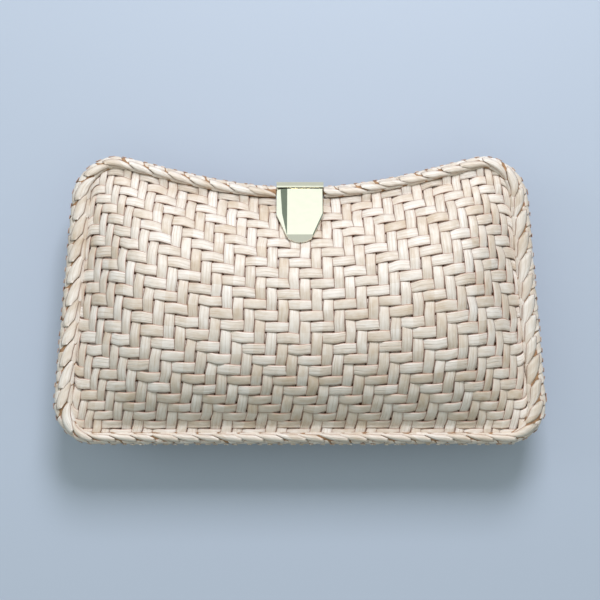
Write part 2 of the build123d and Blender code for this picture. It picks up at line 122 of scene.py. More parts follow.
@dataclass(frozen=True)
class BagForm:
    """The bag's outline and swell, in millimetres."""

    half_width: float = 120.2
    side_slant: float = 0.0886  # of each side, outwards and down
    bottom_y: float = -72.5
    top_y: float = 72.5
    top_dip: float = 15.9
    dip_power: float = 1.3
    shoulder_x: float = 95.0  # where the dip begins
    corner_radius: float = 21.0
    seam_z: float = 30.0
    band_height: float = 4.8  # from the seam to the crown's edge
    rise: float = 25.1
    side_rounding: float = 42.0
    crown_power: float = 2.3
    wall_inset: float = 8.35

    def width_at(self, y: np.ndarray, inset: float) -> np.ndarray:
        """Half the outline's width at y, taken in by inset."""
        return self.half_width - self.side_slant * y - inset

    def corner_drop(self, u: np.ndarray, y: np.ndarray, inset: float) -> np.ndarray:
        """How far a rounded corner pulls the edge in.

        Args:
            u: How far to the side the place lies, as a share.
            y: The edge's own y.
            inset: How far the outline is taken in.

        Returns:
            The pull at each place.
        """
        radius = self.corner_radius - inset
        into = np.clip(radius - (1 - np.abs(u)) * self.width_at(y, inset), 0.0, radius)
        return radius - np.sqrt(radius**2 - into**2)

    def clasp_edge(self, x: np.ndarray, inset: float) -> np.ndarray:
        """The y of the dipped edge at x, before its corners are rounded."""
        share = np.clip(np.abs(x) / self.shoulder_x, 0.0, 1.0)
        return self.top_y - self.top_dip * (1 - share**2) ** self.dip_power - inset

    def plan(self, u: np.ndarray, v: np.ndarray, inset: float) -> tuple[np.ndarray, np.ndarray]:
        """The place of (u, v) in the outline.

        Args:
            u: From -1 at the left side to 1 at the right.
            v: From -1 at the hinge edge to 1 at the clasp edge.
            inset: How far the outline is taken in.

        Returns:
            The x and y of each place.
        """
        low = np.full_like(u, self.bottom_y + inset)
        low = low + self.corner_drop(u, low, inset)
        high = np.full_like(u, self.top_y - inset)
        rounds = 3
        for _ in range(rounds):
            edge = self.clasp_edge(u * self.width_at(high, inset), inset)
            high = edge - self.corner_drop(u, high, inset)
        y = low + (high - low) * (v + 1) / 2
        return u * self.width_at(y, inset), y

    def swell(self, u: np.ndarray, v: np.ndarray) -> np.ndarray:
        """The crown's height over its own edge.

        Args:
            u: From -1 at the left side to 1 at the right.
            v: From -1 at the hinge edge to 1 at the clasp edge.

        Returns:
            A share of the rise for each place.
        """
        span = self.half_width - self.wall_inset
        from_side = np.clip((1 - np.abs(u)) * span / self.side_rounding, 0.0, 1.0)
        return np.sin(np.pi / 2 * from_side) * np.clip(1 - np.abs(v) ** self.crown_power, 0, 1)

    def crown(self, u: np.ndarray, v: np.ndarray, inset: float) -> np.ndarray:
        """Points on the front's mean surface.

        Args:
            u: From -1 at the left side to 1 at the right.
            v: From -1 at the hinge edge to 1 at the clasp edge.
            inset: How far the outline is taken in.

        Returns:
            One row for each (u, v).
        """
        x, y = self.plan(u, v, inset)
        z = self.seam_z + self.band_height + self.rise * self.swell(u, v)
        return np.stack([x, y, z], axis=1)

    def over(self, u: np.ndarray, v: np.ndarray, lift: np.ndarray) -> np.ndarray:
        """Points that stand off the front's surface.

        Args:
            u: From -1 at the left side to 1 at the right.
            v: From -1 at the hinge edge to 1 at the clasp edge.
            lift: How far off it each lies, along its normal.

        Returns:
            One row for each place.
        """
        step = 4e-3
        inset = self.wall_inset
        middle = np.clip(u, step - 1, 1 - step)
        along = self.crown(middle + step, v, inset) - self.crown(middle - step, v, inset)
        upward = self.crown(u, v + step, inset) - self.crown(u, v - step, inset)
        normal = np.cross(along, upward)
        normal /= np.linalg.norm(normal, axis=1, keepdims=True)
        return self.crown(u, v, inset) + normal * lift[:, None]

    def on_half(self, points: np.ndarray, half: Half) -> np.ndarray:
        """Points of the front half, on the chosen half.

        Args:
            points: Their places on the front half.
            half: The half that they go to.  The back is pressed flat where the bag rests.

        Returns:
            One row for each point.
        """
        if half is Half.FRONT:
            return points
        turned = points * np.array([-1.0, 1.0, -1.0]) + np.array([0.0, 0.0, 2 * self.seam_z])
        turned[:, 2] = np.maximum(turned[:, 2], 0.0)
        return turned


def even_shares(count: int, run: float, height: np.ndarray) -> np.ndarray:
    """Where count steps of equal length end on a swollen section.

    Args:
        count: How many steps.
        run: Half the section's width.
        height: The section's height at even places from -1 to 1.

    Returns:
        The count + 1 places, from -1 to 1.
    """
    spots = np.linspace(-1, 1, len(height))
    steps = np.hypot(np.diff(spots) * run, np.diff(height))
    length = np.concatenate([[0.0], np.cumsum(steps)])
    return np.interp(np.linspace(0, length[-1], count + 1), length, spots)


def finish_mesh(
    name: str, bm: bmesh.types.BMesh, points: np.ndarray, uvs: np.ndarray
) -> bpy.types.Object:
    """Makes a smooth-shaded object of a bmesh whose vertices are given new places.

    Args:
        name: The piece's name.
        bm: The mesh, which is used up.
        points: One place for each vertex, in millimetres.
        uvs: One pair for each vertex, kept in the UV map straw.

    Returns:
        The linked object, at the origin.
    """
    mesh = bpy.data.meshes.new(name)
    bm.to_mesh(mesh)
    bm.free()
    mesh.vertices.foreach_set("co", (points * MM).astype(np.float32).ravel())
    layer = mesh.uv_layers.get("straw") or mesh.uv_layers.new(name="straw")
    corners = np.empty(len(mesh.loops), dtype=np.int32)
    mesh.loops.foreach_get("vertex_index", corners)
    layer.data.foreach_set("uv", uvs[corners].astype(np.float32).ravel())
    mesh.polygons.foreach_set("use_smooth", np.ones(len(mesh.polygons), dtype=bool))
    mesh.update()
    piece = bpy.data.objects.new(name, mesh)
    bpy.context.scene.collection.objects.link(piece)
    return piece


def strip_uvs(run: np.ndarray, index: np.ndarray, across: np.ndarray) -> np.ndarray:
    """The straw map's pairs for a row of strips.

    Args:
        run: How many cells along its strip each place lies.
        index: The strip of each place.
        across: From -1 to 1 across the strip.

    Returns:
        One pair for each place.  A margin keeps each strip's edges within its own whole number.
    """
    margin = 0.01
    return np.stack([run, index + (across + 1) / 2 * (1 - 2 * margin) + margin], axis=1)


def face_flat(piece: bpy.types.Object) -> None:
    """Shades a piece's faces flat, as on cut or folded metal."""
    piece.data.polygons.foreach_set("use_smooth", np.zeros(len(piece.data.polygons), dtype=bool))


def thicken(piece: bpy.types.Object, thickness: float) -> None:
    """Gives an open sheet its thickness, inwards from its face.

    Args:
        piece: The sheet.
        thickness: In millimetres.
    """
    wall = piece.modifiers.new("thickness", "SOLIDIFY")
    wall.thickness = thickness * MM
    wall.offset = -1.0


def whole(bm: bmesh.types.BMesh) -> list[bmesh.types.BMVert | bmesh.types.BMEdge | bmesh.types.BMFace]:
    """Every vertex, edge and face of a bmesh."""
    return [*bm.verts, *bm.edges, *bm.faces]


def grid_sheets(count: int, along: int, across: int) -> tuple[bmesh.types.BMesh, np.ndarray]:
    """Many equal flat sheets in one bmesh, told apart by their height.

    Args:
        count: How many sheets.
        along: Faces along each sheet.
        across: Faces across each sheet.

    Returns:
        The bmesh, and for each vertex its place along and across, from -1 to 1, and its sheet.
    """
    bm = bmesh.new()
    bmesh.ops.create_grid(bm, x_segments=along, y_segments=across, size=1.0)
    first = whole(bm)
    for index in range(1, count):
        copied = bmesh.ops.duplicate(bm, geom=first)["geom"]
        verts = [part for part in copied if isinstance(part, bmesh.types.BMVert)]
        bmesh.ops.translate(bm, verts=verts, vec=Vector((0.0, 0.0, float(index))))
    bm.verts.index_update()
    places = np.array([vert.co[:] for vert in bm.verts])
    return bm, places


@dataclass
class Weave:
    """The woven wall of one half: flat strips, two over and two under."""

    form: BagForm
    half: Half
    columns: int = 44
    rows: int = 25
    repeat: int = 4  # cells from one over to the next along a strip
    reach: float = 1.06  # how far the rows go on under the rim, as a share of the wall
    low_reach: float = 1.10  # the same at the hinges
    overhang: float = 1.03  # the farthest that any strip goes to the side, as a share
    corner_radius: float = 13.0  # of the rows' own corners, which the rim covers
    spare: int = 1  # more strips on each side, which the rim covers
    bow: float = 0.022  # how far the strips bow out halfway up, as a share of the width
    skew: float = 0.05  # how far they lean left at the hinges
    top_row: float = 1.0  # where the backing starts, clear of the clasp
    backing_lift: float = -1.35
    strip_width: float = 0.935  # share of a cell
    broader: float = 0.03  # on top of that where a strip lies over, and less where under
    width_spread: float = 0.02  # from strip to strip
    unevenness: tuple[float, ...] = (0.035, 0.06, 0.09, 0.02)  # of sway, rise, twist and width
    high: float = 0.85
    firmness: float = 0.8  # how abruptly a strip changes from over to under
    edge_fall: float = 0.34
    thickness: float = 0.28
    along_faces: int = 5  # for each cell
    across_faces: int = 6
    seed: int = 3

    def __post_init__(self) -> None:
        """Works out where the columns and rows lie."""
        form = self.form = replace(self.form, corner_radius=self.corner_radius)
        spots = np.linspace(-1, 1, 401)
        across = form.rise * form.swell(spots, np.zeros_like(spots))
        upward = form.rise * form.swell(np.zeros_like(spots), spots)
        span = form.top_y - form.top_dip - form.bottom_y
        self.us = even_shares(self.columns, form.half_width - form.wall_inset, across)
        vs = -even_shares(self.rows, span / 2 - form.wall_inset, upward)
        self.vs = vs * np.where(vs > 0, self.reach, self.low_reach)
        self.waver = Waver(self.seed + (1 if self.half is Half.BACK else 0))

    def place(self, column: np.ndarray, row: np.ndarray, lift: np.ndarray) -> np.ndarray:
        """Places on this half's wall.

        Args:
            column: Counted from the left, in cells.
            row: Counted from the clasp's edge.
            lift: How far off the wall's mean surface.

        Returns:
            One row for each place.
        """
        u = np.interp(column, np.arange(self.columns + 1), self.us)
        u += (column - np.clip(column, 0, self.columns)) * (self.us[1] - self.us[0])
        v = np.interp(row, np.arange(self.rows + 1), self.vs)
        u += self.bow * u * (1 - v**2) - self.skew * np.minimum(v, 0) ** 2
        u = np.clip(u, -self.overhang, self.overhang)
        return self.form.on_half(self.form.over(u, v, lift), self.half)

    def strips(self, way: Way) -> bpy.types.Object:
        """All the strips that run one way.

        Args:
            way: ALONG the bag, or UP from the hinges to the clasp.

        Returns:
            The piece, before its finish.
        """
        lengthwise = way is Way.ALONG
        count, cells = (self.rows, self.columns) if lengthwise else (self.columns, self.rows)
        if lengthwise:
            cells += 2 * self.spare
        else:
            count += 2 * self.spare
        bm, places = grid_sheets(count, cells * self.along_faces, self.across_faces)
        index = np.rint(places[:, 2]).astype(int)
        run = (places[:, 0] + 1) / 2 * cells
        if not lengthwise:
            run = cells - run
        across = places[:, 1]
        sway, rise, twist, narrow = (
            self.along_strip(count, cells, index, run, size) for size in self.unevenness
        )
        if lengthwise:
            run = run - self.spare
            start = index - 1
        else:
            index = index - self.spare
            start = index
        wave = np.cos(2 * np.pi * (run - start) / self.repeat)
        over = np.tanh(self.firmness * wave) / math.tanh(self.firmness)
        width = self.strip_width * (1 + self.broader * over + narrow)
        width = width * (1 + self.waver.each(count, self.width_spread)[index])
        side = index + 0.5 + sway - across * width / 2
        lift = self.high * over - self.edge_fall * np.abs(across) ** 3 + rise + across * twist
        column, row = (run, side) if lengthwise else (side, run)
        points = self.place(column, row, lift)
        uvs = strip_uvs(run, index, across)
        piece = finish_mesh(f"{self.half.value}_strips_{way.value}", bm, points, uvs)
        thicken(piece, self.thickness)
        return piece

    def along_strip(
        self, count: int, cells: int, index: np.ndarray, run: np.ndarray, size: float
    ) -> np.ndarray:
        """Unevenness that changes smoothly along each strip.

        Args:
            count: How many strips.
            cells: The cells along each.
            index: The strip of each place.
            run: How many cells along its strip each place lies.
            size: The unevenness, as in Waver.

        Returns:
            One offset for each place.
        """
        offsets = self.waver.grid(count, cells + 2, size)
        near = np.clip(run, 0, cells - 1e-6).astype(int)
        part = np.clip(run - near, 0, 1)
        part = part * part * (3 - 2 * part)
        return offsets[index, near] * (1 - part) + offsets[index, near + 1] * part

    def backing(self) -> bpy.types.Object:
        """A sheet under the weave, coloured dark as painted shade, which shows in the gaps of the weave.

        Returns:
            The piece, before its finish.
        """
        wide = self.columns + 2 * self.spare
        bm, places = grid_sheets(1, 2 * wide, 2 * self.rows)
        column = (places[:, 0] + 1) / 2 * wide - self.spare
        row = self.top_row + (1 - places[:, 1]) / 2 * (self.rows - self.top_row)
        points = self.place(column, row, np.full(len(column), self.backing_lift))
        uvs = np.stack([column, row], axis=1)
        piece = finish_mesh(f"{self.half.value}_weave_backing", bm, points, uvs)
        thicken(piece, self.thickness)
        return piece


@dataclass
class RimLine:
    """The closed line that the plaited rim follows, by its length from the clasp."""

    form: BagForm
    inset: float = 4.0
    quarter_points: int = 400
    line_points: int = 1600
    smooth: int = 9  # neighbours on each side that ease the line's direction

    def __post_init__(self) -> None:
        """Samples the line finely and measures it."""
        ease = np.sin(np.pi / 2 * np.linspace(0, 1, self.quarter_points))
        top_x, top_y = self.form.plan(ease, np.ones_like(ease), self.inset)
        low_x, low_y = self.form.plan(ease[::-1], -np.ones_like(ease), self.inset)
        x = np.concatenate([top_x, low_x, -low_x[::-1], -top_x[::-1]])
        y = np.concatenate([top_y, low_y, low_y[::-1], top_y[::-1]])
        keep = np.concatenate([[True], np.hypot(np.diff(x), np.diff(y)) > 1e-6])
        x, y = x[keep], y[keep]
        lengths = np.concatenate([[0.0], np.cumsum(np.hypot(np.diff(x), np.diff(y)))])
        self.length = float(lengths[-1])
        spots = np.linspace(0, self.length, self.line_points, endpoint=False)
        self.x = np.interp(spots, lengths, x)
        self.y = np.interp(spots, lengths, y)
        along_x = self.eased(np.roll(self.x, -1) - np.roll(self.x, 1))
        along_y = self.eased(np.roll(self.y, -1) - np.roll(self.y, 1))
        size = np.hypot(along_x, along_y)
        self.out_x = -along_y / size
        self.out_y = along_x / size

    def eased(self, values: np.ndarray) -> np.ndarray:
        """Values averaged with their neighbours round the closed line.

        Args:
            values: One for each point of the line.

        Returns:
            As many averages.
        """
        wide = 2 * self.smooth + 1
        wrapped = np.concatenate([values[-self.smooth:], values, values[:self.smooth]])
        return np.convolve(wrapped, np.ones(wide) / wide, mode="valid")

    def read(self, values: np.ndarray, along: np.ndarray) -> np.ndarray:
        """The line's values at a length along it."""
        share = np.mod(along, self.length) / self.length * len(self.x)
        return np.interp(share, np.arange(len(self.x) + 1), np.append(values, values[0]))

    def sideways(self, along: np.ndarray) -> np.ndarray:
        """How far the line's outer side faces left or right, from 0 to 1."""
        return self.read(self.out_x, along) ** 2

    def at(self, along: np.ndarray, out: np.ndarray, up: np.ndarray) -> np.ndarray:
        """Points beside the line.

        Args:
            along: Length along the line from the clasp, clockwise.
            out: How far outside the line.
            up: How far over the seam.

        Returns:
            One point for each, on the front half.
        """
        x = self.read(self.x, along) + self.read(self.out_x, along) * out
        y = self.read(self.y, along) + self.read(self.out_y, along) * out
        return np.stack([x, y, self.form.seam_z + up], axis=1)


@dataclass(frozen=True)
class LeafRow:
    """One row of the plait's strips.  Lengths are in millimetres."""

    name: str
    length: float  # of one strip, along its own axis
    half_width: float
    middle: float  # how far outside the rim's crest it lies, over the bead
    lean: float  # how far its tail lies outside its head
    puff: float  # how far its middle swells over its edges
    tail_lift: float  # of its tail over its middle, and of that over its head
    shear: float = 0.0  # how far its outer edge trails its inner edge
    per_pitch: int = 1
    offset: float = 0.0  # along the rim, in pitches
    bluntness: float = 2.5  # of its head
    tail_bluntness: float = 7.0
    base: float = 0.0  # of its edges over the bead
    uneven: float = 1.0


@dataclass
class PlaitedRim:
    """The plaited straw rim of one half."""

    form: BagForm
    half: Half
    leaves: int = 64
    gap: float = 12.35  # from the middle of the clasp to the rim's ends
    section: tuple[tuple[float, float], ...] = (
        (-4.9, 4.4), (-4.2, 8.2), (2.4, 8.6), (7.4, 5.2), (5.0, 0.4),
    )
    slim: tuple[float, float] = (0.58, 0.64)  # of its two sides, along the two long edges
    outward: float = 1.8  # how far further out the bead lies there
    hinge_y: float = -69.7
    hinge_slope: float = 0.87  # of the lower side at the hinges, so that the halves open
    crest: float = 0.42  # the crest's place on the section
    lowest: float = 0.35  # of the bead over the seam
    core_start: float = 0.06
    core_lift: float = -0.7
    core_faces: int = 10
    mouth_sides: tuple[float, float] = (-6.2, 4.4)
    mouth_lift: float = 0.32
    mouth_faces: int = 8
    mouth_strips: int = 3
    sheet_faces: int = 4  # of the core and the mouth, for each leaf
    faces_along: int = 10
    faces_across: int = 6
    thickness: float = 0.3
    spread: tuple[float, ...] = (0.06, 0.08, 0.5, 0.35)  # of length, width, place and depth
    end_power: float = 0.6  # how round a strip's ends are
    strip_bow: float = 0.35  # of a strip's middle, as a share of its half width
    cell: float = 11.0  # length of straw to one step of the straw map
    seed: int = 11

    def __post_init__(self) -> None:
        """Lays out the rim's line and measures its section."""
        self.line = RimLine(self.form)
        self.pitch = (self.line.length - 2 * self.gap) / self.leaves
        self.waver = Waver(self.seed + (1 if self.half is Half.BACK else 0))
        self.shares = np.linspace(0, 1, 201)
        out, up = self.bead(self.shares)
        self.arc = np.concatenate([[0.0], np.cumsum(np.hypot(np.diff(out), np.diff(up)))])
        self.arc -= np.interp(self.crest, self.shares, self.arc)

    def bead(self, share: np.ndarray) -> tuple[np.ndarray, np.ndarray]:
        """The bead's section, a smooth curve.

        Args:
            share: From 0 at the woven face to 1 under the outer edge.

        Returns:
            How far out and how far up each place lies.
        """
        degree = len(self.section) - 1
        out = np.zeros_like(share)
        up = np.zeros_like(share)
        for k, (px, py) in enumerate(self.section):
            weight = math.comb(degree, k) * share**k * (1 - share) ** (degree - k)
            out += weight * px
            up += weight * py
        return out, up

    def lay(self, along: np.ndarray, arc: np.ndarray, lift: np.ndarray) -> np.ndarray:
        """Places on the bead.

        Args:
            along: Length along the rim from the clasp, clockwise.
            arc: How far outside the crest, over the bead.
            lift: How far off the bead.

        Returns:
            The points, on this half.
        """
        share = np.interp(arc, self.arc, self.shares)
        step = 1e-3
        out, up = self.bead(share)
        out_on, up_on = self.bead(share + step)
        run, fall = out_on - out, up_on - up
        size = np.hypot(run, fall)
        out, up = out - fall / size * lift, up + run / size * lift
        sideways = self.line.sideways(along)
        slim = np.where(out < 0, *self.slim)
        out = out * (slim + (1 - slim) * sideways) + self.outward * (1 - sideways)
        return self.settle(self.line.at(along, out, np.maximum(up, self.lowest)), self.lowest)

    def settle(self, points: np.ndarray, lift: float) -> np.ndarray:
        """Raises points clear of the hinges, and puts them on this half.

        Args:
            points: Their places on the front half.
            lift: How far over the seam they lie at least.

        Returns:
            The points, on this half.
        """
        lowest = self.form.seam_z + lift + self.hinge_slope * (self.hinge_y - points[:, 1])
        points[:, 2] = np.maximum(points[:, 2], lowest)
        return self.form.on_half(points, self.half)

    def sheet(self, faces: int) -> tuple[bmesh.types.BMesh, np.ndarray, np.ndarray]:
        """One flat sheet that goes all round the rim.

        Args:
            faces: Faces across it.

        Returns:
            The bmesh, each vertex's length along the rim, and its place across, from -1 to 1.
        """
        bm, places = grid_sheets(1, self.sheet_faces * self.leaves, faces)
        along = self.gap + (places[:, 0] + 1) / 2 * (self.line.length - 2 * self.gap)
        return bm, along, places[:, 1]

    def row(self, leaf: LeafRow) -> bpy.types.Object:
        """All the strips of one row.

        Args:
            leaf: The row's measures.

        Returns:
            The piece, before its finish.
        """
        count = self.leaves * leaf.per_pitch
        bm, places = grid_sheets(count, self.faces_along, self.faces_across)
        index = np.rint(places[:, 2]).astype(int)
        ahead, beside = places[:, 0], places[:, 1]
        longer, wider, slid, sunk = (
            self.waver.each(count, size * leaf.uneven)[index] for size in self.spread
        )
        power = np.where(ahead > 0, leaf.bluntness, leaf.tail_bluntness)
        ends = (1 - np.abs(ahead) ** power) ** self.end_power
        side = beside * ends * leaf.half_width * (1 + wider)
        bowed = self.strip_bow * leaf.half_width * (ahead**2 - 0.3)
        arc = leaf.middle - leaf.lean * ahead / 2 + side - bowed + sunk
        forward = ahead * leaf.length / 2 * (1 + longer) - leaf.shear * side / leaf.half_width
        step = self.pitch / leaf.per_pitch
        along = self.gap + step * (index + 0.5) + self.pitch * leaf.offset + forward + slid
        along = np.clip(along, self.gap, self.line.length - self.gap)
        lift = leaf.base - leaf.tail_lift * ahead + leaf.puff * (1 - beside**2) * ends
        points = self.lay(along, arc, lift)
        uvs = strip_uvs(ahead * leaf.length / self.cell, index, beside)
        piece = finish_mesh(f"{self.half.value}_rim_{leaf.name}", bm, points, uvs)
        thicken(piece, self.thickness)
        return piece

    def mouth(self) -> bpy.types.Object:
        """The flat straw band round the mouth, which faces the other half.

        Returns:
            The piece, before its finish.
        """
        bm, along, beside = self.sheet(self.mouth_faces)
        across = (beside + 1) / 2
        out = self.mouth_sides[0] + across * (self.mouth_sides[1] - self.mouth_sides[0])
        points = self.line.at(along, out, np.full(len(along), self.mouth_lift))
        points = self.settle(points, self.mouth_lift)
        uvs = np.stack([along / self.cell, across * self.mouth_strips], axis=1)
        return finish_mesh(f"{self.half.value}_rim_mouth", bm, points, uvs)

    def core(self) -> bpy.types.Object:
        """The bead under the strips, coloured dark as painted shade, which shows between them.

        Returns:
            The piece, before its finish.
        """
        bm, along, beside = self.sheet(self.core_faces)
        share = self.core_start + (1 - self.core_start) * (1 - beside) / 2
        arc = np.interp(share, self.shares, self.arc)
        points = self.lay(along, arc, np.full(len(share), self.core_lift))
        uvs = np.stack([along / self.pitch, share], axis=1)
        piece = finish_mesh(f"{self.half.value}_rim_core", bm, points, uvs)
        thicken(piece, self.thickness)
        return piece


@dataclass
class LiningTray:
    """The smooth cloth lining of one half."""

    form: BagForm
    half: Half
    inset: float = 10.75  # of its outer side
    drop: float = 2.75  # from the wall's mean surface
    foot: float = 0.5  # from the seam to its edge
    thickness: float = 0.7
    faces: tuple[int, int] = (72, 44)
    skirt: float = 0.012  # how much of the grid goes down to the edge

    def build(self) -> bpy.types.Object:
        """Makes the piece, before its finish.

        Returns:
            The lining.
        """
        bm, places = grid_sheets(1, *self.faces)
        span = 1 - self.skirt
        u, v = (np.sin(np.pi / 2 * np.clip(places[:, k] / span, -1, 1)) for k in (0, 1))
        points = self.form.crown(u, v, self.inset)
        points[:, 2] -= self.drop
        edge = np.abs(places[:, :2]).max(axis=1) > 1 - 1e-6
        points[edge, 2] = self.form.seam_z + self.foot
        points = self.form.on_half(points, self.half)
        piece = finish_mesh(f"{self.half.value}_lining_cloth", bm, points, places[:, :2])
        thicken(piece, self.thickness)
        return piece


class Term:
    """A shader value that can be used in a Python expression."""

    def __init__(self, shader: Shader, socket: bpy.types.NodeSocket) -> None:
        """Wraps one output socket of a shader."""
        self.shader = shader
        self.socket = socket

    def _math(self, kind: str, *values: Term | float) -> Term:
        """Adds a Math node of one kind."""
        return self.shader.node("ShaderNodeMath", {"operation": kind}, *values)

    def __add__(self, other: Term | float) -> Term:
        """Adds."""
        return self._math("ADD", self, other)

    def __sub__(self, other: Term | float) -> Term:
        """Subtracts."""
        return self._math("SUBTRACT", self, other)

    def __mul__(self, other: Term | float) -> Term:
        """Multiplies."""
        return self._math("MULTIPLY", self, other)

    def sibling(self, output: int) -> Term:
        """Another output of the same node."""
        return Term(self.shader, self.socket.node.outputs[output])

    def floor(self) -> Term:
        """The whole number below."""
        return self._math("FLOOR", self)

    def fraction(self) -> Term:
        """What is left over the whole number below."""
        return self._math("FRACT", self)

    def size(self) -> Term:
        """The value without its sign."""
        return self._math("ABSOLUTE", self)

    def between(self, low: float, high: float) -> Term:
        """A smooth step from 0 at low to 1 at high."""
        settings = {"interpolation_type": "SMOOTHSTEP"}
        return self.shader.node("ShaderNodeMapRange", settings, self, low, high)


class Shader:
    """One material's node tree, with a Principled surface."""

    def __init__(self, name: str) -> None:
        """Starts an empty material with that name."""
        self.material = bpy.data.materials.new(name)
        self.material.use_nodes = True
        self.tree = self.material.node_tree
        self.surface = self.tree.nodes["Principled BSDF"]

    def node(
        self, kind: str, settings: dict | None = None, *values: object, out: str | int = 0,
        **named: object,
    ) -> Term:
        """Adds a node.

        Args:
            kind: The node's type.
            settings: Its own settings, set first.
            values: The values or links of its first sockets, in order.
            out: The output to return.
            named: Values or links by socket name, with _ for a space.

        Returns:
            The chosen output.
        """
        made = self.tree.nodes.new(kind)
        for key, value in (settings or {}).items():
            setattr(made, key, value)
        for index, value in enumerate(values):
            self.feed(made.inputs[index], value)
        for key, value in named.items():
            self.feed(made.inputs[key.replace("_", " ")], value)
        return Term(self, made.outputs[out])

    def feed(self, socket: bpy.types.NodeSocket, value: object) -> None:
        """Links a term to a socket, or sets the socket to a plain value.

        Args:
            socket: The input.
            value: A term, or the plain value.
        """
        if isinstance(value, Term):
            self.tree.links.new(value.socket, socket)
        else:
            socket.default_value = value

    def ramp(self, value: Term, stops: list[tuple[float, tuple[float, ...]]]) -> Term:
        """A colour ramp.

        Args:
            value: What it reads.
            stops: Places from 0 to 1 with their colours.

        Returns:
            The colour.
        """
        made = self.tree.nodes.new("ShaderNodeValToRGB")
        self.tree.links.new(value.socket, made.inputs[0])
        elements = made.color_ramp.elements
        while len(elements) < len(stops):
            elements.new(0.5)
        for element, (place, colour) in zip(elements, stops):
            element.position = place
            element.color = (*colour, 1.0)
        return Term(self, made.outputs[0])

    def blend(self, factor: Term | float, first: object, second: object) -> Term:
        """Mixes two colours.

        Args:
            factor: How much of the second.
            first: A colour, given or linked.
            second: A colour, given or linked.

        Returns:
            The mixed colour.
        """
        made = self.tree.nodes.new("ShaderNodeMix")
        made.data_type = "RGBA"
        self.feed(made.inputs["Factor"], factor)
        for socket, value in ((made.inputs[6], first), (made.inputs[7], second)):
            self.feed(socket, value if isinstance(value, Term) else (*value, 1.0))
        return Term(self, made.outputs[2])

    def bump(self, height: Term, strength: float, distance: float) -> None:
        """Raises the surface by a height.

        Args:
            height: From 0 to 1.
            strength: How much of it counts.
            distance: What a height of 1 stands for, in millimetres.
        """
        normal = self.node(
            "ShaderNodeBump", None, Strength=strength, Distance=distance * MM, Height=height
        )
        self.feed(self.surface.inputs["Normal"], normal)

    def set(self, **values: object) -> None:
        """Sets or links inputs of the Principled surface.

        Args:
            values: Values or links by input name, with _ for a space.
        """
        for key, value in values.items():
            if isinstance(value, tuple):
                value = (*value, 1.0)
            self.feed(self.surface.inputs[key.replace("_", " ")], value)


def darkened(colour: Colour, share: float) -> tuple[float, ...]:
    """A colour with each of its parts cut to a share."""
    return tuple(part * share for part in colour)


@dataclass(frozen=True)
class Straw:
    """Flat straw strips, read from the UV map straw: x along in cells, y across by strip."""

    name: str
    pale: Colour = (0.87, 0.81, 0.755)
    deep: Colour = (0.58, 0.455, 0.33)
    # The red-brown of the painted shade along each strip's sides, standing in for the shadow lines
    # between strips
    edge: Colour = (0.36, 0.13, 0.065)
    rough: float = 0.32
    fibres: float = 26.0  # across a strip
    veins: float = 7.0
    grooves: float = 3.2
    groove_tint: float = 0.4
    groove_depth: float = 0.9  # beside the fibres' height of 1
    border_start: float = 0.39  # where the painted shade along each side begins, where the middle is 0 and the side 0.5
    # How strongly the sides take that painted shade
    border_tint: float = 0.8
    relief: float = 0.16  # in millimetres

    def build(self) -> bpy.types.Material:
        """Makes the material.

        Returns:
            The straw, with fibres along each strip, its own tone for each, and painted shade along its
            sides.
        """
        shader = Shader(self.name)
        uv = shader.node("ShaderNodeUVMap", {"uv_map": "straw"})
        along = shader.node("ShaderNodeSeparateXYZ", None, uv)
        across = along.sibling(1)
        strip = across.floor()
        inside = across.fraction()
        own = shader.node("ShaderNodeTexWhiteNoise", {"noise_dimensions": "1D"}, W=strip)
        stretch = shader.node("ShaderNodeCombineXYZ", None, strip, (along * 0.5).floor(), 0.0)
        patch = shader.node("ShaderNodeTexWhiteNoise", {"noise_dimensions": "2D"}, Vector=stretch)
        fibre = self.noise(shader, along * 0.45, across * self.fibres, strip, 4.0)
        vein = self.noise(shader, along * 0.3, across * self.veins, strip + 9.0, 1.0)
        cloud = self.noise(shader, along * 0.9, across * 1.3, strip * 0.37, 2.0)
        groove = (inside * self.grooves + vein * 0.9).fraction() - 0.5
        groove = groove.size().between(0.34, 0.5) * own.between(0.35, 0.6)
        tone = fibre * 0.9 + own * 0.18 + patch * 0.2 + cloud * 0.55 - 0.5
        colour = shader.ramp(tone, [(0.12, self.deep), (0.62, self.pale)])
        colour = shader.blend(groove * self.groove_tint, colour, self.deep)
        # Painted shade: each strip's sides turn red-brown, standing in for the shadow lines between
        # strips
        painted_edge_shade = (inside - 0.5).size().between(self.border_start, 0.5)
        colour = shader.blend(painted_edge_shade * self.border_tint, colour, self.edge)
        shader.set(Base_Color=colour, Roughness=cloud * 0.2 + self.rough)
        shader.bump(fibre - groove * self.groove_depth, 0.8, self.relief)
        return shader.material

    @staticmethod
    def noise(shader: Shader, x: Term, y: Term, z: Term, detail: float) -> Term:
        """Noise over three coordinates.

        Args:
            shader: The shader that it joins.
            x: The first coordinate.
            y: The second.
            z: The third.
            detail: How many finer layers it has.

        Returns:
            The noise, from 0 to 1.
        """
        spot = shader.node("ShaderNodeCombineXYZ", None, x, y, z)
        return shader.node(
            "ShaderNodeTexNoise", None, Vector=spot, Scale=1.0, Detail=detail, Roughness=0.6
        )


@dataclass(frozen=True)
class Shade:
    """Painted shade: a dark straw colour for the sheets under the weave and the rim, which shows in
    their gaps.
    """

    name: str
    colour: Colour = (0.26, 0.11, 0.055)

    def build(self) -> bpy.types.Material:
        """Makes the material.

        Returns:
            The mottled dark straw, as painted shade.
        """
        shader = Shader(self.name)
        spot = shader.node("ShaderNodeTexCoord", out="Object")
        noise = shader.node("ShaderNodeTexNoise", None, Vector=spot, Scale=900.0, Detail=2.0)
        tone = shader.ramp(noise, [(0.3, darkened(self.colour, 0.6)), (0.7, self.colour)])
        shader.set(Base_Color=tone, Roughness=0.9)
        return shader.material


